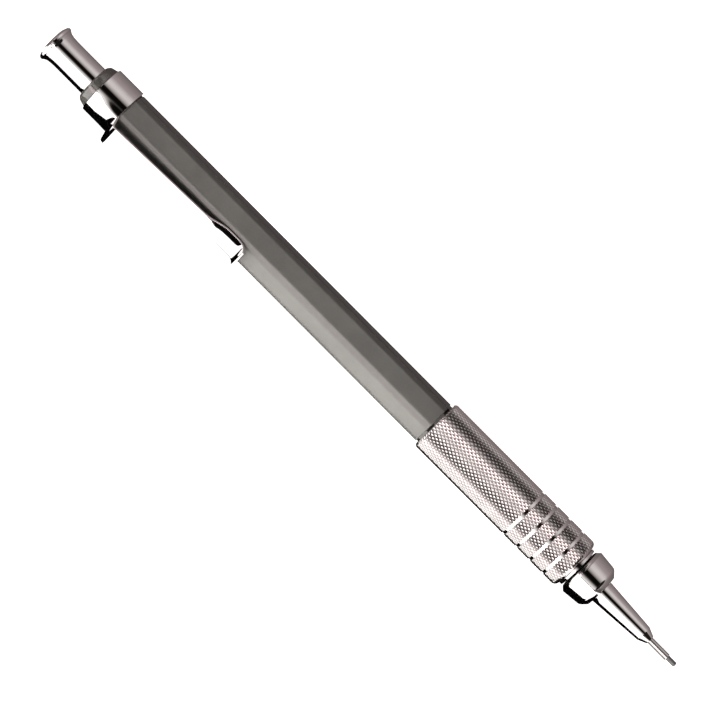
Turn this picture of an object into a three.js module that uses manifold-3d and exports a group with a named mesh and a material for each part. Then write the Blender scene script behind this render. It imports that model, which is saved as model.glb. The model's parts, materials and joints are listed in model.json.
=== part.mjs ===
// A drafting mechanical pencil for 0.9 mm lead, lying on a table on its grip and the corner of its clip.
// Millimetres, +Z up. The pencil's axis runs along X with the writing tip towards +X.
// Inside the `pencil` group, x = 0 is the mouth of the guide sleeve, x is negative towards the push cap,
// and the clip stands on the +Y side.
import * as THREE from "three";
import { mergeVertices } from "three/addons/utils/BufferGeometryUtils.js";
import Module from "manifold-3d";

const wasm = await Module();
wasm.setup();

// ---- driving dimensions ----
const LEAD_R = 0.45; // 0.9 mm lead
const LEAD_TIP = 1.9; // how far the lead stands out of the sleeve
const SLEEVE_R = 0.63;
const SLEEVE_BORE_R = 0.49;
const SLEEVE_OUT = 4.15; // length of sleeve that shows
const GRIP_R = 4.99;
const GRIP_FRONT = -22.1;
const GRIP_REAR = -55.9;
const BARREL_R = 4.33; // over the barrel's twelve corners
const WIDE_FLAT_HALF_ANGLE = 21.5; // degrees each side of a wide flat's middle
const CLIP_SEAT_R = 4.1;
const BAND_R = 4.57;
const BAND_REAR = -136.3;
const BAND_FRONT = -130.6;
const CAP_R = 2.9;
const CAP_RIM_R = 3.55;
const CAP_END = -148.1;
const CLIP_WIDTH = 4.6;
const CLIP_SHEET = 0.45;
const CLIP_TOP = 6.88; // clip's outer face at its highest, from the pencil's axis
const CHUCK_SLOT_END = -33;
const FIT = 0.05; // radial gap of a close fit
const SEAM = 0.1; // axial gap where two pieces meet face to face

const OUTER_SEGMENTS = 36;
const GRIP_SEGMENTS = 24;
const INNER_SEGMENTS = 24;
const LEAD_SEGMENTS = 12;

// ---- materials ----
const metal = (color, roughness) => new THREE.MeshStandardMaterial({ color, roughness, metalness: 1 });
const plastic = (color, roughness) => new THREE.MeshStandardMaterial({ color, roughness, metalness: 0 });
const CHROME = metal(0xd8d4d4, 0.08);
const KNURLED = metal(0xc9c6c4, 0.3);
const BRASS = metal(0xc8a04a, 0.3);
const STEEL = metal(0xb4b4b4, 0.25);
const GREY_GLOSS = plastic(0x4a4845, 0.25);
const TUBE_GREY = plastic(0x8f9296, 0.45);
const RUBBER = plastic(0x1c1c1c, 0.8);
const ERASER_WHITE = plastic(0xeceae6, 0.85);
const GRAPHITE = plastic(0x3a3a3c, 0.5);

// ---- helpers ----

// A body turned about the X axis. `outer` and `bore` list [x, radius] from the cap end to the tip end.
function turned(outer, bore = [], segments = OUTER_SEGMENTS) {
  const onAxis = bore.length === 0;
  const first = onAxis ? [outer[0][0], 0] : outer[0];
  const last = onAxis ? [[outer[outer.length - 1][0], 0]] : [...bore].reverse();
  const profile = onAxis ? [first, ...outer, ...last] : [...outer, ...last, first];
  const points = profile.map(([x, r]) => new THREE.Vector2(r, x));
  return new THREE.LatheGeometry(points, segments).rotateZ(-Math.PI / 2);
}

// Points of a quarter-round corner in a turned profile, from one [x, radius] to the other about a centre.
function arc([cx, cr], radius, fromDegrees, toDegrees, steps) {
  return Array.from({ length: steps + 1 }, (_, i) => {
    const a = THREE.MathUtils.degToRad(fromDegrees + ((toDegrees - fromDegrees) * i) / steps);
    return [cx + radius * Math.cos(a), cr + radius * Math.sin(a)];
  });
}

function solid(geometry) {
  const bare = geometry.clone().deleteAttribute("normal").deleteAttribute("uv");
  const merged = mergeVertices(bare, 1e-4);
  return new wasm.Manifold(
    new wasm.Mesh({
      numProp: 3,
      vertProperties: merged.attributes.position.array,
      triVerts: new Uint32Array(merged.index.array),
    }),
  );
}

function geometryOf(manifold) {
  const mesh = manifold.getMesh();
  const geometry = new THREE.BufferGeometry();
  geometry.setAttribute("position", new THREE.BufferAttribute(new Float32Array(mesh.vertProperties), 3));
  geometry.setIndex(new THREE.BufferAttribute(new Uint32Array(mesh.triVerts), 1));
  geometry.computeVertexNormals();
  return geometry;
}

function named(name, geometry, material) {
  const mesh = new THREE.Mesh(geometry, material);
  mesh.name = name;
  return mesh;
}

// ---- writing end ----

function guideSleeve() {
  const rear = -7;
  return turned(
    [[rear, SLEEVE_R], [-0.08, SLEEVE_R], [0, SLEEVE_R - 0.06]],
    [[rear, SLEEVE_BORE_R], [0, SLEEVE_BORE_R]],
    INNER_SEGMENTS,
  );
}

// Collar, cone and threaded spigot in one piece, with the chuck's chamber bored in from the rear.
function noseCone() {
  const spigotR = 2.62;
  const corner = arc([-16.95, 3.27], 1.02, 90, 0, 4);
  return turned(
    [
      [-27.6, spigotR - 0.2], [-27.4, spigotR], [-22.3, spigotR], [-22.2, 2.45], [-21.15, 2.45],
      [-21.15, 4.05], [-20.5, 4.64], ...corner, [-15.93, 2.22],
      [-5.7, 1.5], [-SLEEVE_OUT, 0.8],
    ],
    [
      [-27.6, 2.3], [-19.7, 2.3], [-19.7, 1.95], [-16, 1.95], [-15.3, 1.25], [-12.1, 1.25],
      [-12.1, SLEEVE_R + FIT], [-SLEEVE_OUT, SLEEVE_R + FIT],
    ],
  );
}

function leadBrake() {
  return turned(
    [[-15.2, 0.9], [-14.9, 1.18], [-12.2, 1.18]],
    [[-15.2, 0.75], [-14.4, LEAD_R + 0.03], [-12.2, LEAD_R + 0.03]],
    INNER_SEGMENTS,
  );
}

// Metal insert that screws into the barrel; its flange clamps the grip and its bore takes the nose cone.
function frontBushing() {
  return turned(
    [[-28.4, 3.04], [GRIP_FRONT + 0.05, 3.04], [GRIP_FRONT + 0.05, 4], [-21.2, 4]],
    [[-28.4, 2.7], [-21.2, 2.7]],
  );
}

// ---- grip ----

function grip() {
  const grooveFloor = GRIP_R - 0.28;
  const grooveHalf = 0.25;
  const grooves = [-34.65, -31.5, -28.37, -25.23].flatMap((x) => [
    [x - grooveHalf, GRIP_R], [x - grooveHalf, grooveFloor],
    [x + grooveHalf, grooveFloor], [x + grooveHalf, GRIP_R],
  ]);
  const nose = arc([GRIP_FRONT - 0.95, GRIP_R - 0.95], 0.95, 90, 0, 4);
  return turned(
    [[GRIP_REAR, 4.44], [GRIP_REAR + 0.6, GRIP_R], ...grooves, ...nose],
    [[GRIP_REAR, 3.73], [GRIP_FRONT, 3.73]],
    GRIP_SEGMENTS,
  );
}

// ---- barrel ----

// Six wide flats with a narrow flat between each pair; a wide flat faces +Y, under the clip.
function barrelSection() {
  const shape = new THREE.Shape();
  const corners = [0, 60, 120, 180, 240, 300].flatMap((middle) => [
    middle - WIDE_FLAT_HALF_ANGLE,
    middle + WIDE_FLAT_HALF_ANGLE,
  ]);
  shape.setFromPoints(
    corners.map((degrees) => {
      const a = THREE.MathUtils.degToRad(degrees);
      return new THREE.Vector2(BARREL_R * Math.sin(a), BARREL_R * Math.cos(a));
    }),
  );
  return shape;
}

function barrel() {
  const facetRear = BAND_FRONT + SEAM;
  const facetFront = GRIP_REAR - SEAM;
  const facets = new THREE.ExtrudeGeometry(barrelSection(), {
    depth: facetFront - facetRear,
    bevelEnabled: false,
  });
  facets.rotateY(Math.PI / 2).translate(facetRear, 0, 0);
  const core = turned([
    [-136.25, CLIP_SEAT_R], [facetRear + 1, CLIP_SEAT_R], [facetRear + 1, 3.65], [-22.25, 3.65],
  ]);
  const bore = turned([
    [-137, 3.62], [-131.8, 3.62], [-131.8, 3.06], [-121, 3.06], [-121, 2.4], [-28.5, 2.4],
    [-28.5, 3.1], [-21, 3.1],
  ]);
  return geometryOf(solid(facets).add(solid(core)).subtract(solid(bore)));
}

// Moulded ring pressed into the barrel's open end; it holds the clip's band on and guides the push cap.
function barrelEndRing() {
  return turned(
    [[-138.1, 3.4], [-137.65, 3.83], [-136.35, 4.2], [-136.35, 3.56], [-132, 3.56]],
    [[-138.1, CAP_R + 0.1], [-132, CAP_R + 0.1]],
  );
}

// ---- clip ----

function clipBand() {
  return turned(
    [[BAND_REAR, BAND_R - 0.08], [BAND_REAR + 0.08, BAND_R], [BAND_FRONT, BAND_R]],
    [[BAND_REAR, CLIP_SEAT_R + FIT], [BAND_FRONT, CLIP_SEAT_R + FIT]],
  );
}

// The sheet's middle line, x along the pencil and y its height above the axis.
function clipSpine() {
  const rootHeight = BAND_R - CLIP_SHEET / 2;
  const topHeight = CLIP_TOP - CLIP_SHEET / 2;
  const contactHeight = 4.33;
  const spine = new THREE.Path();
  spine.moveTo(BAND_FRONT + SEAM, rootHeight);
  spine.quadraticCurveTo(-129.9, rootHeight, -129.8, 5.1);
  spine.lineTo(-129.6, 5.95);
  spine.quadraticCurveTo(-129.45, topHeight, -128.7, topHeight);
  spine.lineTo(-108.6, 5.75);
  spine.bezierCurveTo(-106.6, 5.66, -105.6, contactHeight, -103.2, contactHeight);
  spine.lineTo(-101.6, contactHeight);
  spine.quadraticCurveTo(-99.3, contactHeight, -99.1, 6.1);
  return spine;
}

function clipArm() {
  const middle = clipSpine().getPoints(5);
  const side = (sign) =>
    middle.map((p, i) => {
      const before = middle[Math.max(i - 1, 0)];
      const after = middle[Math.min(i + 1, middle.length - 1)];
      const along = after.clone().sub(before).normalize();
      const offset = new THREE.Vector2(-along.y, along.x).multiplyScalar((sign * CLIP_SHEET) / 2);
      return p.clone().add(offset);
    });
  const outline = new THREE.Shape([...side(-1), ...side(1).reverse()]);
  const sheet = new THREE.ExtrudeGeometry(outline, { depth: CLIP_WIDTH, bevelEnabled: false });
  return sheet.translate(0, 0, -CLIP_WIDTH / 2);
}

// ---- push cap and eraser ----

function pushCap() {
  const front = -126;
  const wall = 0.35;
  return turned(
    [
      [CAP_END, 2.2], [CAP_END + 0.3, 3], [CAP_END + 0.72, CAP_RIM_R - 0.05], [CAP_END + 0.95, CAP_RIM_R],
      [CAP_END + 1.25, CAP_RIM_R - 0.15], [CAP_END + 1.75, CAP_RIM_R - 0.4], [CAP_END + 2.5, CAP_R + 0.03],
      [CAP_END + 3.3, CAP_R], [front, CAP_R],
    ],
    [[CAP_END + 0.9, 0], [CAP_END + 0.9, CAP_R - wall], [front, CAP_R - wall]],
  );
}

function eraserHolder() {
  return turned(
    [
      [-142, 2.35], [-141.8, 2.43], [-136.6, 2.43], [-136.4, 2.5], [-135.6, 2.5], [-135.4, 2.43],
      [-130.9, 2.43], [-130.4, 2.1], [-124.5, 2.1],
    ],
    [[-142, 2.1], [-131.5, 2.1], [-131.5, 1.3], [-130.5, 1.3], [-130.5, 1.75], [-124.5, 1.75]],
    INNER_SEGMENTS,
  );
}

function eraser() {
  return turned([[-146.6, 1.8], [-146.4, 2], [-131.6, 2]], [], INNER_SEGMENTS);
}

// ---- lead feed ----

function leadTube() {
  return turned([[-130.4, 1.7], [-41.7, 1.7]], [[-130.4, 1.38], [-41.7, 1.38]], INNER_SEGMENTS);
}

// Joins the tube to the chuck: the tube fits over its tail and the chuck presses into its nose.
function chuckConnector() {
  return turned(
    [[-47, 1.15], [-46.7, 1.31], [-41.6, 1.31], [-41.6, 1.85], [-36.2, 1.85]],
    [[-47, 1.05], [-46.2, 0.7], [-41, 0.7], [-41, 1.21], [-36.2, 1.21]],
    INNER_SEGMENTS,
  );
}

function chuckTail() {
  return turned(
    [[-40.9, 1.05], [-40.7, 1.14], [-34.2, 1.14], [-33.8, 1], [CHUCK_SLOT_END - FIT, 1]],
    [[-40.9, 0.62], [CHUCK_SLOT_END - FIT, 0.62]],
    INNER_SEGMENTS,
  );
}

// One third of the collet: slim spring leaf at the rear, tapered gripping head at the front.
function chuckJaw(index) {
  const slitHalf = 0.1;
  const collet = turned(
    [
      [CHUCK_SLOT_END, 1], [-23.3, 1], [-22.9, 1.15], [-20.9, 1.52], [-19.2, 1.52], [-18.6, 1.2],
    ],
    [[CHUCK_SLOT_END, 0.62], [-22.9, 0.62], [-22.6, 0.475], [-18.9, 0.475], [-18.6, 0.6]],
    36,
  );
  const reach = 4;
  const third = new THREE.Shape();
  const edge = (degrees, side) => {
    const a = THREE.MathUtils.degToRad(degrees);
    return [
      reach * Math.cos(a) - side * slitHalf * Math.sin(a),
      reach * Math.sin(a) + side * slitHalf * Math.cos(a),
    ];
  };
  third.moveTo(slitHalf / Math.cos(THREE.MathUtils.degToRad(30)), 0);
  third.lineTo(...edge(-60, 1));
  third.lineTo(reach * 1.4, 0);
  third.lineTo(...edge(60, -1));
  const wedge = new THREE.ExtrudeGeometry(third, { depth: 20, bevelEnabled: false });
  wedge.rotateY(Math.PI / 2).translate(-35, 0, 0);
  wedge.rotateX((index * 2 * Math.PI) / 3);
  return geometryOf(solid(collet).intersect(solid(wedge)));
}

function chuckRing() {
  return turned(
    [[-22.9, 2.1], [-22.8, 2.2], [-20.8, 2.2], [-20.7, 2.1]],
    [[-22.9, 1.25], [-20.7, 1.6]],
    INNER_SEGMENTS,
  );
}

// Thin brass tube that stays in the barrel: its front wall seats the ring and the return spring.
function chuckHousing() {
  return turned(
    [[-45, 2.2], [-28.4, 2.2], [-28.4, 2.6], [-27.7, 2.6], [-27.7, 2.2], [-23.05, 2.2]],
    [[-45, 1.95], [-24.6, 1.95], [-24.6, 1.25], [-23.05, 1.25]],
    INNER_SEGMENTS,
  );
}

class SpringLine extends THREE.Curve {
  constructor(rear, front, radius, wireR, activeTurns) {
    super();
    Object.assign(this, { rear, front, radius, wireR, activeTurns });
  }
  // One closed turn at each end, the active turns spread evenly between them.
  getPoint(t, target = new THREE.Vector3()) {
    const turns = this.activeTurns + 2;
    const turn = t * turns;
    const closedPitch = 2 * this.wireR + 0.04;
    const span = this.front - this.rear - 2 * this.wireR;
    const activePitch = (span - 2 * closedPitch) / this.activeTurns;
    const open = THREE.MathUtils.clamp(turn - 1, 0, this.activeTurns);
    const x = this.rear + this.wireR + closedPitch * (turn - open) + activePitch * open;
    const angle = 2 * Math.PI * turn;
    return target.set(x, this.radius * Math.cos(angle), this.radius * Math.sin(angle));
  }
}

function returnSpring() {
  const wireR = 0.15;
  const activeTurns = 8;
  const line = new SpringLine(-36.12, -24.68, 1.53, wireR, activeTurns);
  const section = new THREE.Shape(
    Array.from({ length: 5 }, (_, i) => {
      const a = (i * 2 * Math.PI) / 5;
      return new THREE.Vector2(wireR * Math.cos(a), wireR * Math.sin(a));
    }),
  );
  return new THREE.ExtrudeGeometry(section, {
    steps: (activeTurns + 2) * 12,
    bevelEnabled: false,
    extrudePath: line,
  });
}

function stick(rear, front) {
  return turned([[rear, LEAD_R], [front, LEAD_R]], [], LEAD_SEGMENTS);
}

function writingLead() {
  return turned([[-54, LEAD_R], [LEAD_TIP - 0.1, LEAD_R], [LEAD_TIP, LEAD_R - 0.1]], [], LEAD_SEGMENTS);
}

// ---- assembly ----

// At rest the grip and the outer corner of the clip touch the table, which sets the roll about X.
const halfWidth = CLIP_WIDTH / 2;
const cornerReach = Math.hypot(CLIP_TOP, halfWidth);
const clipDip = Math.asin(GRIP_R / cornerReach) - Math.atan2(halfWidth, CLIP_TOP);

// One corner of the grip's many-sided section points straight down.
const gripMesh = named("grip", grip(), KNURLED);
gripMesh.rotation.x = -clipDip;

const pencil = new THREE.Group();
pencil.rotation.x = Math.PI + clipDip;
pencil.add(
  named("writing_lead", writingLead(), GRAPHITE),
  named("guide_sleeve", guideSleeve(), STEEL),
  named("nose_cone", noseCone(), CHROME),
  named("lead_brake", leadBrake(), RUBBER),
  named("front_bushing", frontBushing(), CHROME),
  gripMesh,
  named("barrel", barrel(), GREY_GLOSS),
  named("barrel_end_ring", barrelEndRing(), GREY_GLOSS),
  named("clip_band", clipBand(), CHROME),
  named("clip_arm", clipArm(), CHROME),
  named("push_cap", pushCap(), CHROME),
  named("eraser_holder", eraserHolder(), BRASS),
  named("eraser", eraser(), ERASER_WHITE),
  named("lead_tube", leadTube(), TUBE_GREY),
  named("chuck_connector", chuckConnector(), BRASS),
  named("chuck_tail", chuckTail(), BRASS),
  named("chuck_ring", chuckRing(), BRASS),
  named("chuck_housing", chuckHousing(), BRASS),
  named("return_spring", returnSpring(), STEEL),
);
for (let i = 0; i < 3; i++) {
  pencil.add(named(`chuck_jaw_${i + 1}`, chuckJaw(i), BRASS));
}

// Two spare leads lie side by side in the bottom of the tube.
const spares = new THREE.Group();
for (const side of [-1, 1]) {
  const spare = named(side < 0 ? "spare_lead_1" : "spare_lead_2", stick(-119.5, -59.5), GRAPHITE);
  spare.position.set(0, side * 0.48, -0.74);
  spares.add(spare);
}

// The origin is on the table, under the middle of the pencil's bounding box.
const clipSide = CLIP_TOP * Math.cos(clipDip) + halfWidth * Math.sin(clipDip);
const assembly = new THREE.Group();
for (const group of [pencil, spares]) {
  group.position.set(-(CAP_END + LEAD_TIP) / 2, (clipSide - GRIP_R) / 2, GRIP_R);
  assembly.add(group);
}

export default assembly;
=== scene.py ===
import json
import math

import bmesh
import bpy
import numpy as np
from mathutils import Matrix, Vector


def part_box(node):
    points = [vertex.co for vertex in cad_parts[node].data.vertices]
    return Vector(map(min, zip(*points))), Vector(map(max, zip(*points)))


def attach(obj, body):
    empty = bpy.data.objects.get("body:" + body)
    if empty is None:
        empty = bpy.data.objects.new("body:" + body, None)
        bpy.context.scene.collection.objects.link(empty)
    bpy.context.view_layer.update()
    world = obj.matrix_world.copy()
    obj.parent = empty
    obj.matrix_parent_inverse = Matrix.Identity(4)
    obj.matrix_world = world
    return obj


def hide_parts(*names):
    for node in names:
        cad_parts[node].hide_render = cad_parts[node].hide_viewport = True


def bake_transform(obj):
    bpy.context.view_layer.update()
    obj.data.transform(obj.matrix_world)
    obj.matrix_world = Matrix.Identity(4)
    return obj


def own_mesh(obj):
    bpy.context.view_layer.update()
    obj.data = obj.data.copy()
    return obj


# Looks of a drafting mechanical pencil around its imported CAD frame.
# Shapes are written in the pencil's own frame, in millimetres: x along the pencil with 0 at the mouth of the
# guide sleeve and the push cap at negative x, y towards the clip, z across the clip.

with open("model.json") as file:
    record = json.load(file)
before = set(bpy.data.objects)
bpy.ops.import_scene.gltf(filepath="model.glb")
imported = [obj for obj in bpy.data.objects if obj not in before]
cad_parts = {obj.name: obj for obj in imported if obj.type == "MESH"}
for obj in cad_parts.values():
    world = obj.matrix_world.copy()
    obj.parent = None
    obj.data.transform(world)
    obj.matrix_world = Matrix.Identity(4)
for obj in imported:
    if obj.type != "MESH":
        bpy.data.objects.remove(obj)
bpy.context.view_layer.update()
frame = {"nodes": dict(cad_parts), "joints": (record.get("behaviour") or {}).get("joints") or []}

MM = 0.001
JOINT = {j["name"]: j for j in frame["joints"]}
AXIS = Vector(JOINT["nose_unscrew"]["pos_m"])
SIDE = Vector(JOINT["clip_flex"]["axis"]).normalized()
ALONG = Vector((1, 0, 0))
CLIPWARD = SIDE.cross(ALONG)
MOUTH_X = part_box("guide_sleeve")[1].x

LOCAL = Matrix(
    (
        (ALONG.x * MM, CLIPWARD.x * MM, SIDE.x * MM, MOUTH_X),
        (ALONG.y * MM, CLIPWARD.y * MM, SIDE.y * MM, AXIS.y),
        (ALONG.z * MM, CLIPWARD.z * MM, SIDE.z * MM, AXIS.z),
        (0, 0, 0, 1),
    )
)


def local_x(node, end):
    """The x of a CAD node's end in the pencil's frame; end 0 is towards the cap, 1 towards the tip."""
    return (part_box(node)[end].x - MOUTH_X) / MM


# ---------------------------------------------------------------- materials


def fill_ramp(node, stops):
    """Sets a colour ramp's stops from (position, colour) pairs."""
    elements = node.color_ramp.elements
    while len(elements) < len(stops):
        elements.new(0.5)
    for element, (position, colour) in zip(elements, stops):
        element.position = position
        element.color = (*colour, 1)


class Shader:
    """A material's node tree with a few short helpers."""

    def __init__(self, name):
        self.material = bpy.data.materials.new(name)
        self.material.use_nodes = True
        self.nodes = self.material.node_tree.nodes
        self.links = self.material.node_tree.links
        self.bsdf = self.nodes["Principled BSDF"]
        self.coords = self.nodes.new("ShaderNodeTexCoord").outputs["Object"]

    def set(self, **values):
        for key, value in values.items():
            self.bsdf.inputs[key.replace("_", " ")].default_value = value
        return self

    def link(self, a, b):
        self.links.new(a, b)

    def stretched(self, scale):
        node = self.nodes.new("ShaderNodeMapping")
        node.inputs["Scale"].default_value = scale
        self.link(self.coords, node.inputs["Vector"])
        return node.outputs["Vector"]

    def noise(self, scale, detail=3.0, roughness=0.5, vector=None, distortion=0.0):
        node = self.nodes.new("ShaderNodeTexNoise")
        node.inputs["Scale"].default_value = scale
        node.inputs["Detail"].default_value = detail
        node.inputs["Roughness"].default_value = roughness
        node.inputs["Distortion"].default_value = distortion
        self.link(vector or self.coords, node.inputs["Vector"])
        return node.outputs["Fac"]

    def attribute(self, name):
        node = self.nodes.new("ShaderNodeAttribute")
        node.attribute_name = name
        return node.outputs["Fac"]

    def remap(self, value, from_low, from_high, to_low, to_high):
        node = self.nodes.new("ShaderNodeMapRange")
        node.inputs["From Min"].default_value = from_low
        node.inputs["From Max"].default_value = from_high
        node.inputs["To Min"].default_value = to_low
        node.inputs["To Max"].default_value = to_high
        self.link(value, node.inputs["Value"])
        return node.outputs["Result"]

    def maths(self, operation, a, b):
        node = self.nodes.new("ShaderNodeMath")
        node.operation = operation
        for value, socket in zip((a, b), node.inputs):
            if isinstance(value, (int, float)):
                socket.default_value = value
            else:
                self.link(value, socket)
        return node.outputs["Value"]

    def ramp(self, value, stops):
        node = self.nodes.new("ShaderNodeValToRGB")
        fill_ramp(node, stops)
        self.link(value, node.inputs["Fac"])
        return node.outputs["Color"]

    def colour(self, value):
        self.link(value, self.bsdf.inputs["Base Color"])
        return self

    def rough(self, value):
        self.link(value, self.bsdf.inputs["Roughness"])
        return self

    def bump(self, height, strength, distance):
        node = self.nodes.new("ShaderNodeBump")
        node.inputs["Strength"].default_value = strength
        node.inputs["Distance"].default_value = distance
        self.link(height, node.inputs["Height"])
        self.link(node.outputs["Normal"], self.bsdf.inputs["Normal"])
        return self


def polished_metal(name, dark, light, rough_low, rough_high, turned_marks=0.15):
    """Plated or turned metal: faint rings from turning, a film of handling marks, fine scratches."""
    s = Shader(name).set(Metallic=1.0)
    rings = s.noise(1.0, 2.0, vector=s.stretched((16000, 300, 300)))
    smudge = s.noise(420, 4.0, 0.55, distortion=0.6)
    s.colour(s.ramp(smudge, [(0.3, dark), (0.7, light)]))
    film = s.maths("ADD", s.maths("MULTIPLY", rings, 0.4), smudge)
    s.rough(s.remap(film, 0.4, 0.95, rough_low, rough_high))
    return s.bump(rings, turned_marks, 2e-6).material


def plastic(name, dark, light, rough_low, rough_high, peel=0.08, ior=1.5):
    """Moulded plastic: slow colour drift, fine mould texture and a few handling scratches."""
    s = Shader(name).set(Metallic=0.0, IOR=ior)
    drift = s.noise(160, 3.0, 0.6)
    grain = s.noise(5200, 2.0, 0.5)
    scratch = s.noise(1.0, 3.0, 0.7, vector=s.stretched((260, 9000, 9000)))
    tone = s.maths("ADD", s.maths("MULTIPLY", grain, 0.35), s.maths("MULTIPLY", drift, 0.65))
    s.colour(s.ramp(tone, [(0.35, dark), (0.65, light)]))
    wear = s.maths("ADD", drift, s.maths("MULTIPLY", scratch, 0.5))
    s.rough(s.remap(wear, 0.5, 1.0, rough_low, rough_high))
    return s.bump(s.maths("ADD", grain, scratch), peel, 4e-6).material


def soft_solid(name, dark, light, rough, grain_scale, bump=0.3):
    """Rubber, eraser vinyl or graphite: mottled colour and a grainy surface."""
    s = Shader(name).set(Metallic=0.0)
    mottle = s.noise(700, 5.0, 0.6)
    grain = s.noise(grain_scale, 3.0, 0.6)
    s.colour(s.ramp(mottle, [(0.3, dark), (0.7, light)]))
    s.rough(s.remap(grain, 0.3, 0.7, rough - 0.08, rough + 0.08))
    return s.bump(grain, bump, 1.2e-5).material


def knurled_metal():
    """Satin plated metal with painted shade in the knurl: the colour is light on the diamonds' crests and dark
    in the cuts between them, with some random tone.
    """
    s = Shader("knurled_metal").set(Metallic=1.0)
    depth = s.attribute("cut")
    grain = s.noise(9000, 2.0, 0.5)
    cast = s.noise(300, 3.0, 0.5)
    # worn holds painted shade: the cut depth, with a little random tone, darkens the colour towards the bottom
    # of each cut.
    worn = s.maths("ADD", depth, s.maths("MULTIPLY", s.maths("SUBTRACT", cast, 0.5), 0.35))
    crest_to_cut_shade = [
        (0.0, (0.90, 0.88, 0.875)),
        (0.2, (0.74, 0.715, 0.71)),
        (0.6, (0.64, 0.61, 0.60)),
        (1.0, (0.22, 0.205, 0.2)),
    ]
    s.colour(s.ramp(worn, crest_to_cut_shade))
    s.rough(s.remap(s.maths("ADD", worn, s.maths("MULTIPLY", grain, 0.3)), 0.1, 1.1, 0.1, 0.26))
    return s.bump(grain, 0.12, 3e-6).material


CHROME = polished_metal("chrome", (0.82, 0.805, 0.805), (0.88, 0.865, 0.865), 0.02, 0.06, 0.04)
CHROME_SHEET = polished_metal("chrome_sheet", (0.82, 0.805, 0.805), (0.88, 0.865, 0.865), 0.025, 0.065, 0.03)
NECK_METAL = polished_metal("neck_metal", (0.80, 0.78, 0.775), (0.87, 0.85, 0.845), 0.06, 0.13, 0.2)
STEEL = polished_metal("drawn_steel", (0.55, 0.54, 0.53), (0.72, 0.71, 0.70), 0.14, 0.26, 0.2)
BRASS = polished_metal("turned_brass", (0.62, 0.43, 0.17), (0.78, 0.58, 0.27), 0.18, 0.34, 0.3)
KNURL = knurled_metal()
BARREL_PLASTIC = plastic("barrel_plastic", (0.078, 0.0755, 0.0705), (0.096, 0.093, 0.087), 0.12, 0.18)
RING_PLASTIC = plastic("end_ring_plastic", (0.035, 0.033, 0.03), (0.05, 0.048, 0.044), 0.08, 0.14, ior=2.1)
TUBE_PLASTIC = plastic("tube_plastic", (0.24, 0.25, 0.27), (0.34, 0.35, 0.37), 0.3, 0.45)
RUBBER = soft_solid("brake_rubber", (0.012, 0.012, 0.012), (0.03, 0.03, 0.03), 0.75, 6000)
# Near-black colour with almost no gloss for faces down in seams: painted shade.
SEAM_SHADE = soft_solid("seam_painted_shade", (0.008, 0.008, 0.007), (0.014, 0.013, 0.013), 0.8, 6000)
SEAM_SHADE.node_tree.nodes["Principled BSDF"].inputs["Specular IOR Level"].default_value = 0.05
ERASER = soft_solid("eraser_vinyl", (0.74, 0.73, 0.70), (0.88, 0.87, 0.84), 0.8, 3500, 0.4)
GRAPHITE = soft_solid("graphite", (0.03, 0.03, 0.031), (0.085, 0.083, 0.083), 0.42, 7000, 0.5)
# Dark metal for the clip arm's underside: painted shade under the arm.
CLIP_UNDERSIDE_SHADE = polished_metal("clip_underside_painted_shade", (0.05, 0.048, 0.046), (0.09, 0.087, 0.084), 0.25, 0.4, 0.1)


# ---------------------------------------------------------------- building meshes


def smooth(mesh, sharp_degrees):
    mesh.polygons.foreach_set("use_smooth", [True] * len(mesh.polygons))
    mesh.set_sharp_from_angle(angle=math.radians(sharp_degrees))


def shade_evenly(obj):
    modifier = obj.modifiers.new("even_shading", "WEIGHTED_NORMAL")
    modifier.keep_sharp = True
    modifier.weight = 80


def to_object(bm, name, material, sharp_degrees=32.0, weighted=True):
    """Turns a bmesh in the pencil's frame into an object in the row frame, smooth with crisp corners."""
    bmesh.ops.recalc_face_normals(bm, faces=bm.faces)
    bmesh.ops.transform(bm, matrix=LOCAL, verts=bm.verts)
    mesh = bpy.data.meshes.new(name)
    bm.to_mesh(mesh)
    bm.free()
    smooth(mesh, sharp_degrees)
    mesh.materials.append(material)
    obj = bpy.data.objects.new(name, mesh)
    bpy.context.scene.collection.objects.link(obj)
    if weighted:
        shade_evenly(obj)
    return obj


def place(obj, body, slot, *nodes):
    """Says which body a piece rides on and hides the CAD nodes it replaces; the slot argument is not used."""
    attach(obj, body)
    if nodes:
        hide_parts(*nodes)
    return obj


def filleted(points, closed, default=0.05, steps=3):
    """Rounds a profile's corners. A point is (x, r) or (x, r, fillet radius)."""
    out = []
    count = len(points)
    for i, point in enumerate(points):
        corner = Vector(point[:2])
        radius = point[2] if len(point) > 2 else default
        if radius == 0 or (not closed and i in (0, count - 1)):
            out.append(tuple(corner))
            continue
        back = Vector(points[i - 1][:2]) - corner
        ahead = Vector(points[(i + 1) % count][:2]) - corner
        half = back.angle(ahead) / 2
        if half > math.radians(88):
            out.append(tuple(corner))
            continue
        cut = min(radius / math.tan(half), 0.45 * back.length, 0.45 * ahead.length)
        start, end = corner + back.normalized() * cut, corner + ahead.normalized() * cut
        for k in range(steps + 1):
            t = k / steps
            out.append(tuple(start * (1 - t) ** 2 + corner * 2 * t * (1 - t) + end * t * t))
    return out


def turned(profile, segments=96, closed=False, fillet=0.05, shape=None):
    """A turned body. An open profile starts and ends on the axis, a closed one is a tube's section.

    shape(x, r, angle) may change a point's radius, as for a thread."""
    points = filleted(profile, closed, fillet)
    bm = bmesh.new()
    rings = []
    for x, r in points:
        if r < 1e-6:
            rings.append([bm.verts.new((x, 0, 0))])
            continue
        ring = []
        for k in range(segments):
            angle = 2 * math.pi * k / segments
            radius = shape(x, r, angle) if shape else r
            ring.append(bm.verts.new((x, radius * math.cos(angle), radius * math.sin(angle))))
        rings.append(ring)
    pairs = list(zip(rings, rings[1:]))
    if closed:
        pairs.append((rings[-1], rings[0]))
    for a, b in pairs:
        for k in range(segments):
            n = (k + 1) % segments
            corners = [a[k % len(a)], a[n % len(a)], b[n % len(b)], b[k % len(b)]]
            bm.faces.new(list(dict.fromkeys(corners)))
    return bm


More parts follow.
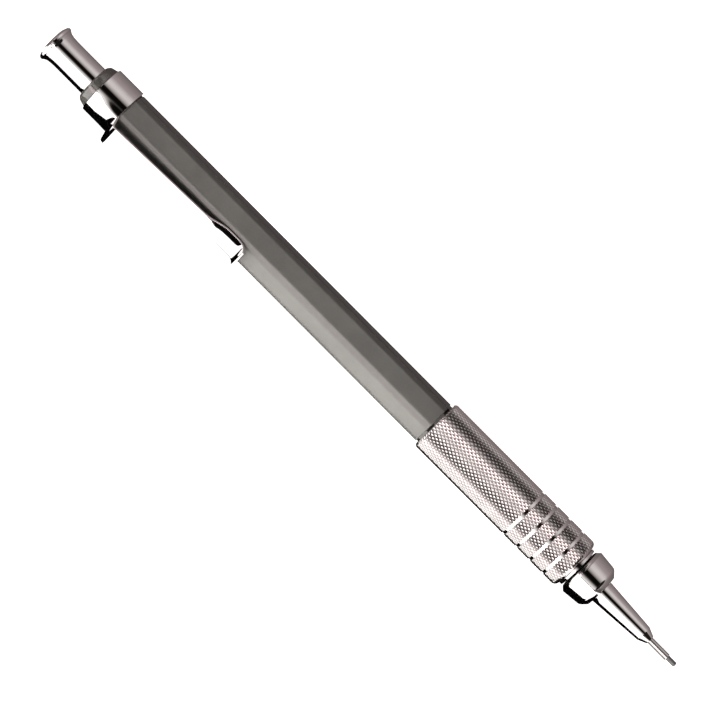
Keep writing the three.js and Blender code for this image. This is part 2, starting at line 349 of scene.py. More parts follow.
def tube_along(path, radius, sides=10):
    """A round wire along a list of points, closed at both ends."""
    bm = bmesh.new()
    rings = []
    for i, point in enumerate(path):
        tangent = (path[min(i + 1, len(path) - 1)] - path[max(i - 1, 0)]).normalized()
        across = tangent.cross(Vector((1, 0, 0))).normalized()
        up = across.cross(tangent)
        rings.append(
            [
                bm.verts.new(point + (across * math.cos(a) + up * math.sin(a)) * radius)
                for a in (2 * math.pi * k / sides for k in range(sides))
            ]
        )
    for a, b in zip(rings, rings[1:]):
        for k in range(sides):
            n = (k + 1) % sides
            bm.faces.new([a[k], a[n], b[n], b[k]])
    bm.faces.new(rings[0])
    bm.faces.new(rings[-1])
    return bm


# ---------------------------------------------------------------- push cap, end ring


CAP_WAIST = 2.9
CAP_BORE = 2.55
RING_BORE = 3.0


def make_push_cap():
    end, front = local_x("push_cap", 0), local_x("push_cap", 1)
    profile = [
        (end, 0), (end, 1.6, 1.5), (end + 0.1, 2.6, 1.0), (end + 0.4, 3.36, 0.3), (end + 0.62, 3.54, 0.1),
        (end + 0.98, 3.55, 0.08), (end + 1.25, 3.3, 0.3), (end + 1.7, 3.07, 0.8), (end + 2.4, 2.95, 1.2),
        (end + 3.4, CAP_WAIST, 1.5), (front, CAP_WAIST, 0.12), (front, CAP_BORE, 0.08),
        (end + 0.95, CAP_BORE, 0.4), (end + 0.9, 0),
    ]
    place(to_object(turned(profile), "push_cap_shell", CHROME), "cap", "chrome", "push_cap")


def make_end_ring():
    end, front = local_x("barrel_end_ring", 0), local_x("barrel_end_ring", 1)
    profile = [
        (end, 3.36, 0.1), (end + 0.42, 3.82, 0.15), (end + 1.75, 4.19, 0.06), (end + 1.75, 3.56, 0.03),
        (front, 3.56, 0.05), (front, RING_BORE, 0.05), (end + 0.3, RING_BORE, 0.08), (end, 3.08, 0.05),
    ]
    ring = to_object(turned(profile, closed=True), "end_ring", RING_PLASTIC)
    place(ring, "barrel_body", "grey_plastic", "barrel_end_ring")


make_push_cap()
make_end_ring()


# ---------------------------------------------------------------- barrel

BARREL_R = 4.33  # to the corners
WIDE_HALF = 21.5  # half of what a wide flat spans, in degrees
COLLAR_REAR = -136.25
COLLAR_R = 4.1
SHOULDER_R = 4.08
SPIGOT_R = 3.65
SPIGOT_END = -22.25
RING_SEAT_R = 3.62
PLUNGER_BORE = 3.06
TUBE_BORE = 2.4
NOSE_BORE = 3.1


def barrel_outline(radius, bevel):
    """The twelve-sided section with each corner softened, as (y, z) points."""
    corners = []
    for middle in range(0, 360, 60):
        for degrees in (middle - WIDE_HALF, middle + WIDE_HALF):
            a = math.radians(degrees)
            corners.append((radius * math.cos(a), radius * math.sin(a), bevel))
    return filleted(corners, True, steps=4)


def make_barrel():
    rear = local_x("clip_band", 1) + 0.1
    front = local_x("grip", 0) - 0.42
    neck = front + 1.2
    bm = bmesh.new()

    def ring(points, x):
        return [bm.verts.new((x, y, z)) for y, z in points]

    def circle(x, radius, like):
        angles = [math.atan2(z, y) for y, z in like]
        return [bm.verts.new((x, radius * math.cos(a), radius * math.sin(a))) for a in angles]

    full = barrel_outline(BARREL_R, 1.1)
    small = barrel_outline(BARREL_R - 0.12, 1.06)
    rings = [
        circle(COLLAR_REAR, 3.7, full), circle(COLLAR_REAR, COLLAR_R - 0.08, full),
        circle(COLLAR_REAR + 0.1, COLLAR_R, full), circle(rear, COLLAR_R, full),
        ring([(y * 0.955, z * 0.955) for y, z in small], rear), ring(small, rear), ring(full, rear + 0.12),
    ]
    rings += [ring(full, x) for x in np.linspace(rear + 0.3, front - 0.3, 40)]
    rings += [
        ring(full, front - 0.1), ring(small, front),
        circle(front, SHOULDER_R, full), circle(neck, SHOULDER_R, full),
        circle(neck, SPIGOT_R, full), circle(SPIGOT_END - 0.1, SPIGOT_R, full),
    ]
    inside = [
        (SPIGOT_END, SPIGOT_R - 0.1), (SPIGOT_END, NOSE_BORE), (-28.5, NOSE_BORE), (-28.5, TUBE_BORE),
        (-121, TUBE_BORE), (-121, PLUNGER_BORE), (-131.8, PLUNGER_BORE), (-131.8, RING_SEAT_R),
        (COLLAR_REAR + 0.1, RING_SEAT_R),
    ]
    rings += [circle(x, radius, full) for x, radius in inside]
    count = len(full)
    for a, b in zip(rings, rings[1:] + rings[:1]):
        for k in range(count):
            n = (k + 1) % count
            bm.faces.new([a[k], a[n], b[n], b[k]])
    # The barrel's short shoulder in the gap before the grip takes the seam colour: painted shade in the gap.
    for face in bm.faces:
        middle = face.calc_center_median()
        if front < middle.x < neck and math.hypot(middle.y, middle.z) > 4:
            face.material_index = 1
    barrel = to_object(bm, "barrel_shell", BARREL_PLASTIC, 25)
    barrel.data.materials.append(SEAM_SHADE)
    place(barrel, "barrel_body", "grey_plastic", "barrel")


make_barrel()


# ---------------------------------------------------------------- clip

CLIP_SHEET = 0.38
CLIP_SEAT = 4.34  # height of the arm's middle where it lies on the barrel
CLIP_TOP = 6.88
BAND_REAR, BAND_FRONT = -136.3, -130.6
BAND_R, BAND_BORE = 4.57, 4.15
BAND_SWELL = 0.34


def ease(t):
    """0 to 1 with a level start and end."""
    return t * t * (3 - 2 * t)


def within(value, low, high):
    return min(max(value, low), high)


def bezier(points, steps):
    """A cubic curve through points given as anchor, handle, handle, anchor, handle, handle, anchor ..."""
    out = []
    for i in range(0, len(points) - 3, 3):
        a, b, c, d = (Vector(p) for p in points[i : i + 4])
        for k in range(steps):
            t = k / steps
            out.append(a * (1 - t) ** 3 + b * 3 * t * (1 - t) ** 2 + c * 3 * t * t * (1 - t) + d * t**3)
    out.append(Vector(points[-1]))
    return out


def clip_middle_line():
    """The arm's middle line as (x, height above the axis), from inside the band to the turned-up lip."""
    top = CLIP_TOP - CLIP_SHEET / 2
    return bezier(
        [
            (-131.4, CLIP_SEAT), (-131.2, CLIP_SEAT), (-131.1, CLIP_SEAT), (-131.0, CLIP_SEAT),
            (-130.75, CLIP_SEAT + 0.02), (-130.62, 4.6), (-130.5, 4.9),
            (-130.3, 5.4), (-130.15, 5.9), (-130.02, 6.25),
            (-129.9, 6.62), (-129.7, top + 0.02), (-129.2, top),
            (-122.0, 6.33), (-115.0, 6.02), (-108.6, 5.73),
            (-106.6, 5.62), (-105.5, CLIP_SEAT + 0.02), (-103.3, CLIP_SEAT),
            (-102.8, CLIP_SEAT - 0.005), (-102.0, CLIP_SEAT - 0.01), (-101.5, CLIP_SEAT),
            (-100.4, CLIP_SEAT + 0.04), (-99.85, 4.75), (-99.3, 6.0),
        ],
        9,
    )


def clip_thickness(x):
    return np.interp(x, [-131.1, -130.7], [0.28, CLIP_SHEET])


def band_swell(x, r, angle):
    """The band rises a little towards the root of the arm."""
    if r < 4.5:
        return r
    along = within((x + 135.4) / 4.4, 0, 1)
    away = abs(math.remainder(angle, 2 * math.pi))
    around = within((math.radians(42) - away) / math.radians(20), 0, 1)
    return r + BAND_SWELL * ease(along) * ease(around)


def clip_half_width(x):
    return np.interp(x, [-130.6, -129.5, -108, -101.5, -99.2], [2.3, 2.3, 2.2, 2.15, 2.1])


def make_clip_arm():
    """The arm's sheet: a grid along its middle line, bowed where it meets the round band, made solid."""
    line = clip_middle_line()
    across = np.linspace(-1, 1, 17)
    bm = bmesh.new()
    grid = []
    for i, p in enumerate(line):
        half = clip_half_width(p.x)
        tangent = (line[min(i + 1, len(line) - 1)] - line[max(i - 1, 0)]).normalized()
        normal = Vector((-tangent.y, tangent.x))
        flat = ease(float(np.clip((p.y - CLIP_SEAT) / 2.0, 0, 1))) if p.x < -128 else 1.0
        row = []
        for v in across:
            z = v * half
            round_bow = math.sqrt(CLIP_SEAT**2 - z * z) - CLIP_SEAT
            bow = round_bow * (1 - flat) - 0.035 * flat * (v * v)
            row.append((Vector((p.x, p.y + bow, z)), Vector((normal.x, normal.y, 0))))
        grid.append(row)
    layers = []
    for side in (0.5, -0.5):
        layers.append([[bm.verts.new(c + n * side * clip_thickness(c.x)) for c, n in row] for row in grid])
    rows, cols = len(grid), len(across)
    for layer in layers:
        for i in range(rows - 1):
            for j in range(cols - 1):
                bm.faces.new([layer[i][j], layer[i + 1][j], layer[i + 1][j + 1], layer[i][j + 1]])
    top, bottom = layers
    for i in range(rows - 1):
        for j in (0, cols - 1):
            bm.faces.new([top[i][j], top[i + 1][j], bottom[i + 1][j], bottom[i][j]])
    for i in (0, rows - 1):
        for j in range(cols - 1):
            bm.faces.new([top[i][j], top[i][j + 1], bottom[i][j + 1], bottom[i][j]])
    bmesh.ops.recalc_face_normals(bm, faces=bm.faces)
    rim = [e for e in bm.edges if len(e.link_faces) == 2 and e.calc_face_angle() > math.radians(60)]
    bmesh.ops.bevel(bm, geom=rim, offset=0.09, segments=3, profile=0.5, affect="EDGES")
    return to_object(bm, "clip_arm_part", CHROME_SHEET, 40, weighted=False)


def make_clip_band():
    profile = [(BAND_REAR, BAND_R - 0.12, 0.1), (BAND_REAR + 0.1, BAND_R, 0.1)]
    profile += [(x, BAND_R, 0) for x in np.linspace(-135.6, -131.0, 13)]
    profile += [(BAND_FRONT, BAND_R, 0.08), (BAND_FRONT, BAND_BORE, 0.05), (BAND_REAR, BAND_BORE, 0.05)]
    band = turned(profile, 160, closed=True, shape=band_swell)
    return to_object(band, "clip_sheet", CHROME_SHEET, 40, weighted=False)


def make_clip():
    """Joins arm and band into the one sheet that a real clip is."""
    arm = make_clip_arm()
    band = make_clip_band()
    join = band.modifiers.new("join", "BOOLEAN")
    join.operation = "UNION"
    join.solver = "EXACT"
    join.use_self = True
    join.object = arm
    bpy.context.view_layer.update()
    evaluated = band.evaluated_get(bpy.context.evaluated_depsgraph_get())
    mesh = bpy.data.meshes.new_from_object(evaluated)
    band.modifiers.clear()
    band.data = mesh
    bpy.data.objects.remove(arm)
    smooth(mesh, 38)
    # The arm's faces that look down at the barrel take the dark metal colour: painted shade under the arm.
    mesh.materials.append(CLIP_UNDERSIDE_SHADE)
    to_local = LOCAL.inverted()
    clipward = Vector((0, 1, 0))
    for face in mesh.polygons:
        normal = (to_local.to_3x3() @ face.normal).normalized()
        middle = to_local @ face.center
        if middle.x > -130.4 and middle.y > 3 and normal.dot(clipward) < -0.3:
            face.material_index = len(mesh.materials) - 1
    shade_evenly(band)
    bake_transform(band)
    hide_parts("clip_band", "clip_arm")


make_clip()


# ---------------------------------------------------------------- grip

GRIP_R = 4.99
KNURL_STARTS = 46
DIAMOND_LENGTH = 1.06
KNURL_DEPTH = 0.128
CREST = 0.28
GROOVE_FLOOR = 4.8
GROOVE_HALF = 0.29
GROOVES = [-34.65, -31.5, -28.37, -25.23]
GRIP_BORE = 3.73
REAR_BORE = 4.15  # where the barrel's shoulder goes in
REAR_CHAMFER = 0.4
FRONT_ROUND = 0.95
TURNED_EDGE_SHADE = 0.1  # the "cut" value of the turned front edge, which sets its painted shade: low, so it is nearly as bright as a crest


def rear_drop(x, rear):
    """How far the knurl is lowered by the chamfer at the grip's rear end."""
    return max(0.0, 1 - (x - rear) / REAR_CHAMFER) * 0.34


def front_limit(x, front):
    """The radius left by the rounding at the grip's front end."""
    into = min(max(0.0, x - (front - FRONT_ROUND)), FRONT_ROUND)
    return GRIP_R - FRONT_ROUND + math.sqrt(FRONT_ROUND**2 - into**2)


def zip_rings(bm, a, b):
    """Joins two rings of vertices, each sorted by angle, with triangles."""

    def turn(v):
        return math.atan2(v.co.z, v.co.y)

    i = j = 0
    while i < len(a) or j < len(b):
        next_a = turn(a[i + 1]) if i + 1 < len(a) else turn(a[0]) + 2 * math.pi
        next_b = turn(b[j + 1]) if j + 1 < len(b) else turn(b[0]) + 2 * math.pi
        va, vb = a[i % len(a)], b[j % len(b)]
        if j >= len(b) or (i < len(a) and next_a <= next_b):
            bm.faces.new([va, a[(i + 1) % len(a)], vb])
            i += 1
        else:
            bm.faces.new([va, b[(j + 1) % len(b)], vb])
            j += 1


def make_grip():
    rear, front = local_x("grip", 0), local_x("grip", 1)
    bm = bmesh.new()
    cut = bm.verts.layers.float.new("cut")
    around = 2 * KNURL_STARTS
    step_x, step_a = DIAMOND_LENGTH / 2, math.pi / KNURL_STARTS
    low = int(rear / step_x) - 3
    high = int(front / step_x) + 3

    def point(k, m, r):
        a = (m + 0.37) * step_a
        return (k * step_x, r * math.cos(a), r * math.sin(a))

    lattice = {}
    for k in range(low - 1, high + 2):
        for m in range(around):
            if (k + m) % 2 == 0:
                v = bm.verts.new(point(k, m, GRIP_R - KNURL_DEPTH))
                v[cut] = 1.0
                lattice[k, m] = v
    for k in range(low, high + 1):
        for m in range(around):
            if (k + m) % 2 == 0:
                continue
            ends = [(k - 1, m), (k, m + 1), (k + 1, m), (k, m - 1)]
            outer = [lattice[kk, mm % around] for kk, mm in ends]
            inner = []
            for dk, dm in ((-CREST, 0), (0, CREST), (CREST, 0), (0, -CREST)):
                inner.append(bm.verts.new(point(k + dk, m + dm, GRIP_R)))
            bm.faces.new(inner)
            for q in range(4):
                p = (q + 1) % 4
                bm.faces.new([outer[q], outer[p], inner[p], inner[q]])

    limits = [rear]
    for g in GROOVES:
        limits += [g - GROOVE_HALF, g + GROOVE_HALF]
    limits.append(front)
    rounding = [rear + REAR_CHAMFER]
    rounding += [front - FRONT_ROUND * (1 - math.sin(math.radians(a))) for a in (0, 22, 40, 56, 72)]
    for x in limits + rounding:
        geometry = bm.verts[:] + bm.edges[:] + bm.faces[:]
        bmesh.ops.bisect_plane(bm, geom=geometry, dist=1e-5, plane_co=(x, 0, 0), plane_no=(1, 0, 0))
    bands = list(zip(limits[::2], limits[1::2]))
    outside = [f for f in bm.faces if not any(a < f.calc_center_median().x < b for a, b in bands)]
    bmesh.ops.delete(bm, geom=outside, context="FACES")
    for v in bm.verts:
        r = math.hypot(v.co.y, v.co.z)
        lowered = min(r - rear_drop(v.co.x, rear), front_limit(v.co.x, front))
        if lowered < r:
            v.co.y *= lowered / r
            v.co.z *= lowered / r
            # The turned front rounding gets only a little of the painted shade of the cuts.
            if v.co.x > 0.5 * (rear + front):
                v[cut] = TURNED_EDGE_SHADE

    def ring_at(x):
        found = [v for v in bm.verts if abs(v.co.x - x) < 1e-4]
        return sorted(found, key=lambda v: math.atan2(v.co.z, v.co.y))

    def sunk(ring, x, radius):
        out = []
        for v in ring:
            scale = radius / math.hypot(v.co.y, v.co.z)
            out.append(bm.verts.new((x, v.co.y * scale, v.co.z * scale)))
        return out

    def skirt(a, b):
        for k in range(len(a)):
            n = (k + 1) % len(a)
            bm.faces.new([a[k], a[n], b[n], b[k]])

    rings = {x: ring_at(x) for x in limits}
    for before, after in zip(limits[1:-1:2], limits[2:-1:2]):
        sides = []
        for x, inward in ((before, 1), (after, -1)):
            wall = sunk(rings[x], x + inward * 0.02, GROOVE_FLOOR + 0.05)
            foot = sunk(rings[x], x + inward * 0.07, GROOVE_FLOOR)
            skirt(rings[x], wall)
            skirt(wall, foot)
            sides.append(foot)
        zip_rings(bm, *sides)

    def circle(x, radius, count=96):
        angles = [-math.pi + 2 * math.pi * (k + 0.5) / count for k in range(count)]
        return [bm.verts.new((x, radius * math.cos(a), radius * math.sin(a))) for a in angles]

    bore = [
        circle(rear, REAR_BORE), circle(rear + 1.0, REAR_BORE), circle(rear + 1.0, GRIP_BORE),
        circle(front, GRIP_BORE), circle(front, 3.9),
    ]
    zip_rings(bm, rings[rear], bore[0])
    for a, b in zip(bore, bore[1:]):
        skirt(a, b)
    zip_rings(bm, rings[front], bore[-1])
    grip = to_object(bm, "grip_sleeve", KNURL, 24, weighted=False)
    place(grip, "barrel_body", "knurled_metal", "grip")


make_grip()


# ---------------------------------------------------------------- nose

THREAD_PITCH = 0.5
THREAD_R = 2.62
THREAD_ROOT_R = 2.45
THREAD_DEPTH = 0.2
SLEEVE_R = 0.63
SLEEVE_BORE = 0.5


def paint_seam_shade(obj, inside):
    """Gives the faces that sit down in a seam a matt black colour: painted shade in the seam."""
    obj.data.materials.append(SEAM_SHADE)
    for face in obj.data.polygons:
        x, y, z = face.center
        if inside((x - MOUTH_X) / MM, math.hypot(y - AXIS.y, z - AXIS.z) / MM):
            face.material_index = 1


def make_nose():
    spigot = [(-27.6, THREAD_ROOT_R, 0.03), (-27.4, THREAD_R, 0.03)]
    spigot += [(x, THREAD_R, 0) for x in np.arange(-27.3, -22.6, 0.0625)]
    spigot += [(-22.4, THREAD_R, 0.03), (-22.3, THREAD_ROOT_R, 0.03), (-21.15, THREAD_ROOT_R, 0.03)]
    collar = [(-21.15, 4.02, 0.06), (-20.5, 4.63, 0.16), (-17.0, 4.29, 1.05), (-15.93, 3.2, 0.5)]
    cone = [(-15.93, 2.24, 0.1), (-5.75, 1.51, 0.5), (-4.6, 1.02, 0.3), (-4.15, 0.82, 0.12)]
    bore = [
        (-4.15, 0.68, 0.02), (-12.1, 0.68, 0.02), (-12.1, 1.25, 0.02), (-15.3, 1.25, 0.02), (-16.0, 1.95, 0.02),
        (-19.6, 1.95, 0.02), (-19.6, 2.3, 0.02), (-27.6, 2.3, 0.03),
    ]

    def thread(x, r, angle):
        if not (-27.31 < x < -22.59 and r > 2.6):
            return r
        phase = (x / THREAD_PITCH - angle / (2 * math.pi)) % 1.0
        return r - THREAD_DEPTH * (1 - abs(2 * phase - 1)) ** 1.2

    body = turned(spigot + collar + cone + bore, 128, closed=True, shape=thread)
    nose = to_object(body, "nose_cone_body", CHROME)
    # Faces between the thread and the collar take the seam colour: painted shade in the seam.
    paint_seam_shade(nose, lambda x, r: -22.35 < x < -21.1)
    place(nose, "nose", "chrome", "nose_cone")


def make_sleeve():
    sleeve = [
        (-7.0, SLEEVE_R, 0.03), (-0.06, SLEEVE_R, 0.06), (0, SLEEVE_R - 0.03, 0.02), (0, SLEEVE_BORE, 0.02),
        (-7.0, SLEEVE_BORE, 0.02),
    ]
    place(to_object(turned(sleeve, 48, closed=True), "guide_tube", STEEL), "nose", "steel", "guide_sleeve")


def make_neck():
    rear, back, front = -28.4, -22.05, -21.52
    neck = [
        (rear, 3.04, 0.05), (back, 3.04, 0.03), (back, 3.98, 0.08), (front, 3.98, 0.12), (front, 2.7, 0.05),
        (rear, 2.7, 0.05),
    ]
    bushing = to_object(turned(neck, 128, closed=True), "neck_bushing", NECK_METAL)
    # The bushing's front face and the outside of its rear take the seam colour: painted shade in the seams.
    paint_seam_shade(bushing, lambda x, r: x > -21.6 or (x < -22.0 and r > 2.9))
    place(bushing, "barrel_body", "chrome", "front_bushing")


def make_brake():
    brake = [
        (-15.2, 0.9, 0.05), (-14.9, 1.18, 0.05), (-12.2, 1.18, 0.05), (-12.2, 0.48, 0.03), (-14.4, 0.48, 0.05),
        (-15.2, 0.75, 0.05),
    ]
    plug = to_object(turned(brake, 48, closed=True), "brake_plug", RUBBER)
    place(plug, "nose_carrier", "rubber", "lead_brake")


make_nose()
make_sleeve()
make_neck()
make_brake()


# ---------------------------------------------------------------- leads


LEAD_R = 0.45
LEAD_REAR = -54
BREAK_LENGTH = 0.3
BREAK_DEPTH = 0.16


def make_writing_lead():
    """The lead in use, broken off unevenly at its tip."""
    chips = np.random.default_rng(9).uniform(0, 1, 2)
    tip = local_x("writing_lead", 1)
    profile = [
        (LEAD_REAR, 0), (LEAD_REAR, LEAD_R, 0.04), (tip - 0.5, LEAD_R, 0), (tip - 0.12, LEAD_R - 0.005, 0.05),
        (tip, 0.36, 0.04), (tip, 0),
    ]
    bm = turned(profile, 40)
    for v in bm.verts:
        share = (v.co.x - (tip - BREAK_LENGTH)) / BREAK_LENGTH
        if share > 0:
            a = math.atan2(v.co.z, v.co.y)
            wobble = 0.5 + 0.5 * math.sin(2 * a + 6 * chips[0]) * math.cos(3 * a + 6 * chips[1])
            v.co.x -= share * BREAK_DEPTH * wobble * (math.hypot(v.co.y, v.co.z) / LEAD_R)
    place(to_object(bm, "lead_in_use", GRAPHITE), "lead", "graphite", "writing_lead")


def make_spare_leads():
    for node, name in (("spare_lead_1", "spare_stick_1"), ("spare_lead_2", "spare_stick_2")):
        low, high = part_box(node)
        rear, front = local_x(node, 0), local_x(node, 1)
        bm = turned([(rear, 0), (rear, LEAD_R, 0.04), (front, LEAD_R, 0.04), (front, 0)], 24)
        middle = LOCAL.inverted() @ ((low + high) / 2)
        bmesh.ops.translate(bm, verts=bm.verts, vec=(0, middle.y, middle.z))
        place(to_object(bm, name, GRAPHITE), "plunger", "graphite", node)


make_writing_lead()
make_spare_leads()


# ---------------------------------------------------------------- eraser and its holder


ERASER_R = 2.0
WORN_LENGTH = 1.6
WORN_DEPTH = 0.12
HOLDER_R = 2.43
HOLDER_BORE = 2.1
HOLDER_GROOVE_R = 2.3


def make_eraser():
    """A plug whose free end is worn down on one side."""
    end, front = local_x("eraser", 0), local_x("eraser", 1)
    profile = [(end, 0), (end, 1.45, 0.8), (end + 0.55, ERASER_R, 0.4)]
    profile += [(x, ERASER_R, 0) for x in np.linspace(end + 1.5, front - 0.5, 12)]
    profile += [(front, ERASER_R, 0.1), (front, 0)]
    bm = turned(profile, 64)
    for v in bm.verts:
        a = math.atan2(v.co.z, v.co.y)
        near = max(0.0, 1 - (v.co.x - end) / WORN_LENGTH)
        v.co.x += WORN_DEPTH * near * (1 + math.sin(a + 0.8)) * math.hypot(v.co.y, v.co.z) / ERASER_R
    place(to_object(bm, "eraser_plug", ERASER), "plunger", "eraser", "eraser")


def make_eraser_holder():
    rear, head = local_x("eraser_holder", 0), local_x("eraser_holder", 1)
    outer = [(rear, HOLDER_R - 0.1, 0.04), (rear + 0.15, HOLDER_R, 0.04)]
    for groove in (rear + 1.85, rear + 2.85):
        outer += [
            (groove - 0.25, HOLDER_R, 0.05), (groove, HOLDER_GROOVE_R, 0.06), (groove + 0.25, HOLDER_R, 0.05),
        ]
    outer += [
        (-136.6, HOLDER_R, 0.1), (-136.4, 2.5, 0.1), (-135.6, 2.5, 0.1), (-135.4, HOLDER_R, 0.1),
        (-130.9, HOLDER_R, 0.1), (-130.4, 2.1, 0.1), (head, 2.1, 0.08),
    ]
    inner = [
        (head, 1.75, 0.05), (-130.5, 1.75, 0.03), (-130.5, 1.3, 0.03), (-131.5, 1.3, 0.03),
        (-131.5, HOLDER_BORE, 0.03), (rear, HOLDER_BORE, 0.04),
    ]
    holder = to_object(turned(outer + inner, 64, closed=True), "eraser_ferrule", BRASS)
    place(holder, "plunger", "brass", "eraser_holder")


make_eraser()
make_eraser_holder()


# ---------------------------------------------------------------- return spring


WIRE_R = 0.15
COIL_R = 1.53
TURNS = 10
ACTIVE_TURNS = 8  # the turn at either end is closed
POINTS_PER_TURN = 28


def make_spring():
    rear, front = local_x("return_spring", 0), local_x("return_spring", 1)
    closed_pitch = 2 * WIRE_R + 0.04
    span = front - rear - 2 * WIRE_R
    active_pitch = (span - 2 * closed_pitch) / ACTIVE_TURNS
    path = []
    for i in range(TURNS * POINTS_PER_TURN + 1):
        turn = i / POINTS_PER_TURN
        opened = within(turn - 1, 0, ACTIVE_TURNS)
        x = rear + WIRE_R + closed_pitch * (turn - opened) + active_pitch * opened
        a = 2 * math.pi * turn
        path.append(Vector((x, COIL_R * math.cos(a), COIL_R * math.sin(a))))
    spring = to_object(tube_along(path, WIRE_R), "spring_coil", STEEL, weighted=False)
    place(spring, "barrel_body", "steel", "return_spring")
    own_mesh(spring)


make_spring()


# ---------------------------------------------------------------- CAD nodes that keep their shape

KEPT = {
    "lead_tube": TUBE_PLASTIC,
    "chuck_connector": BRASS,
    "chuck_tail": BRASS,
    "chuck_jaw_1": BRASS,
    "chuck_jaw_2": BRASS,
    "chuck_jaw_3": BRASS,
    "chuck_ring": BRASS,
    "chuck_housing": BRASS,
}
for node, material in KEPT.items():
    cad = frame["nodes"][node]
    cad.data.materials.clear()
    cad.data.materials.append(material)
    edge = cad.modifiers.new("broken_edges", "BEVEL")
    edge.width = 0.03 * MM
    edge.segments = 2
    edge.limit_method = "ANGLE"
    edge.angle_limit = math.radians(50)


# ---------------------------------------------------------------- studio

# The sky's colour by how far round it lies from the horizon behind the pencil, over the top, in degrees.
SKY = [
    (0, (0.14, 0.12, 0.12)),
    (30, (0.20, 0.17, 0.17)),
    (60, (0.28, 0.235, 0.235)),
    (85, (0.38, 0.32, 0.32)),
    (105, (0.64, 0.60, 0.59)),
    (117, (0.68, 0.64, 0.63)),
    (128, (0.48, 0.44, 0.43)),
    (136, (0.2, 0.18, 0.17)),
    (140.5, (0.003, 0.0026, 0.002)),
    (157, (0.003, 0.0026, 0.002)),
    (162, (0.04, 0.036, 0.034)),
    (167, (0.35, 0.33, 0.32)),
    (173, (0.7, 0.68, 0.66)),
    (178, (1.0, 0.98, 0.96)),
]
# Two dark patches past either end: direction, and the cosines where each begins and is full.
DARK_PATCHES = [((0.80, -0.46, 0.386), 0.85, 0.93), ((-0.80, -0.46, 0.386), 0.87, 0.95)]
PATCH_COLOUR = (0.012, 0.011, 0.01, 1)

# Cards shape what the chrome and the flats reflect. Outlines are (x, y) in millimetres, y from the pencil's
# axis. Overlapping cards lie at different heights, so that none flickers through another.
FAR = 2980
UPPER, MIDDLE, LOWER = 0.00018, 0.00015, 0.00012


def make_floor(name, strength, height, seen_by):
    """A plain pale floor that glows; one sheet is seen, the other only lights matt surfaces."""
    bpy.ops.mesh.primitive_plane_add(size=6, location=(0, 0, height))
    floor = bpy.context.object
    floor.name = name
    s = Shader(name + "_white")
    s.set(Base_Color=(0.9, 0.9, 0.89, 1), Roughness=0.9)
    s.bsdf.inputs["Emission Color"].default_value = (1.0, 0.985, 0.97, 1)
    s.bsdf.inputs["Emission Strength"].default_value = strength
    floor.data.materials.append(s.material)
    floor.visible_camera = floor.visible_glossy = seen_by == "eye"
    floor.visible_diffuse = seen_by == "matt"
    floor.visible_shadow = False


def rectangle(x0, y0, x1, y1):
    return [(x0, y0), (x1, y0), (x1, y1), (x0, y1)]


def make_card(name, outline, height, grey=0.0, diffuse=False):
    """A card lying just over the floor that only reflections, and diffuse light if asked, can see."""
    bm = bmesh.new()
    bm.faces.new([bm.verts.new((x * MM + MOUTH_X, y * MM + AXIS.y, height)) for x, y in outline])
    mesh = bpy.data.meshes.new(name)
    bm.to_mesh(mesh)
    bm.free()
    card = bpy.data.objects.new(name, mesh)
    bpy.context.scene.collection.objects.link(card)
    s = Shader(name + "_felt").set(Base_Color=(0.004, 0.004, 0.004, 1), Roughness=1.0)
    s.bsdf.inputs["Specular IOR Level"].default_value = 0
    s.bsdf.inputs["Emission Color"].default_value = (1, 0.85, 0.84, 1)
    s.bsdf.inputs["Emission Strength"].default_value = grey
    mesh.materials.append(s.material)
    card.visible_camera = False
    card.visible_diffuse = diffuse
    card.visible_shadow = False


def make_world():
    """A studio that is dark at the camera's level, soft grey above and dimmer behind the pencil."""
    world = bpy.data.worlds.new("studio")
    bpy.context.scene.world = world
    world.use_nodes = True
    nodes, links = world.node_tree.nodes, world.node_tree.links
    background = nodes["Background"]
    coords = nodes.new("ShaderNodeTexCoord")
    split = nodes.new("ShaderNodeSeparateXYZ")
    links.new(coords.outputs["Generated"], split.inputs["Vector"])
    angle = nodes.new("ShaderNodeMath")
    angle.operation = "ARCTAN2"
    links.new(split.outputs["Z"], angle.inputs[0])
    links.new(split.outputs["Y"], angle.inputs[1])
    share = nodes.new("ShaderNodeMath")
    share.operation = "DIVIDE"
    share.inputs[1].default_value = math.pi
    links.new(angle.outputs["Value"], share.inputs[0])
    ramp = nodes.new("ShaderNodeValToRGB")
    fill_ramp(ramp, [(degrees / 180, colour) for degrees, colour in SKY])
    links.new(share.outputs["Value"], ramp.inputs["Fac"])
    colour = ramp.outputs["Color"]
    for direction, far, near in DARK_PATCHES:
        close = nodes.new("ShaderNodeVectorMath")
        close.operation = "DOT_PRODUCT"
        close.inputs[1].default_value = direction
        links.new(coords.outputs["Generated"], close.inputs[0])
        fade = nodes.new("ShaderNodeMapRange")
        fade.interpolation_type = "SMOOTHSTEP"
        fade.inputs["From Min"].default_value = far
        fade.inputs["From Max"].default_value = near
        links.new(close.outputs["Value"], fade.inputs["Value"])
        mix = nodes.new("ShaderNodeMix")
        mix.data_type = "RGBA"
        mix.inputs["B"].default_value = PATCH_COLOUR
        links.new(fade.outputs["Result"], mix.inputs["Factor"])
        links.new(colour, mix.inputs["A"])
        colour = mix.outputs["Result"]
    links.new(colour, background.inputs["Color"])


VIEW_WIDTH = 122.23  # millimetres across the picture, at the pencil
VIEW_MIDDLE = -72.8
ELEVATION, ROLL = 19.0, 45.11  # degrees


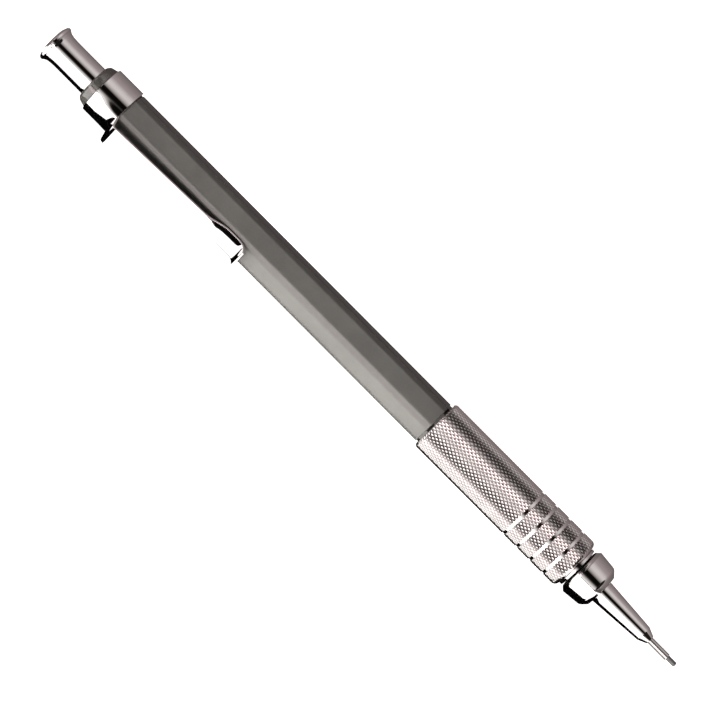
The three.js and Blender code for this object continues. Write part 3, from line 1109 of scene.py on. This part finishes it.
def make_camera():
    data = bpy.data.cameras.new("camera")
    data.sensor_width = 36
    data.lens = 200
    camera = bpy.data.objects.new("camera", data)
    bpy.context.scene.collection.objects.link(camera)
    bpy.context.scene.camera = camera
    elevation, roll = math.radians(ELEVATION), math.radians(ROLL)
    toward = Vector((0, -math.cos(elevation), math.sin(elevation)))
    upright = toward.cross(ALONG)
    right = ALONG * math.cos(roll) + upright * math.sin(roll)
    up = upright * math.cos(roll) - ALONG * math.sin(roll)
    target = LOCAL @ Vector((VIEW_MIDDLE, 0, 0)) + upright * (-1.33 * MM)
    place_at = target + toward * (VIEW_WIDTH * MM * data.lens / data.sensor_width)
    camera.matrix_world = Matrix(
        (
            (right.x, up.x, toward.x, place_at.x),
            (right.y, up.y, toward.y, place_at.y),
            (right.z, up.z, toward.z, place_at.z),
            (0, 0, 0, 1),
        )
    )
    data.clip_start = 0.05
    data.clip_end = 20


# A black card under the pencil, seen by reflections and diffuse light but not by the camera: a painted contact
# shadow.
CONTACT_SHADOW_OUTLINE = [
    (-150.5, -2.7), (-139, -2.7), (-138, -4.5), (-131, -4.7), (-110, -4.4), (-108, -3.4), (-23, -3.4),
    (-22, -4.9), (-14.6, -4.9), (-14.2, -2.6), (-5, -2.3), (3, -2.3), (3, 6), (-150.5, 6),
]
CLIP_RISER = [(-134.8, -4.6), (-133.4, -5.8), (-132.3, -6.6), (-132.3, -4), (-134.8, -4)]
CLIP_FOOT = [(-107.6, -20), (-99.4, -20), (-99.4, -6), (-103.8, -6), (-106.8, -9)]

make_floor("floor", 1.3, 0.0, "eye")
make_floor("floor_bounce", 5.4, -0.0002, "matt")
make_card("card_contact_shadow", CONTACT_SHADOW_OUTLINE, UPPER, diffuse=True)
make_card("card_root", rectangle(-132.4, -22, -129.4, -3), UPPER)
make_card("card_riser", CLIP_RISER, UPPER)
make_card("card_rim", rectangle(-158, 6, -147.4, 45), UPPER, grey=0.04)
make_card("card_left", rectangle(-2900, -FAR, -158, FAR), MIDDLE, grey=0.2)
make_card("card_right", rectangle(14, -FAR, 2900, FAR), MIDDLE, grey=0.1)
make_card("card_clip", CLIP_FOOT, UPPER)
make_card("card_behind", rectangle(-2900, 45, 2900, FAR), LOWER, grey=0.35)
make_card("card_front", rectangle(-2900, -FAR, 2900, -13), LOWER, grey=2.8)
make_world()
make_camera()
bpy.context.scene.view_settings.view_transform = "Standard"

bpy.context.view_layer.update()
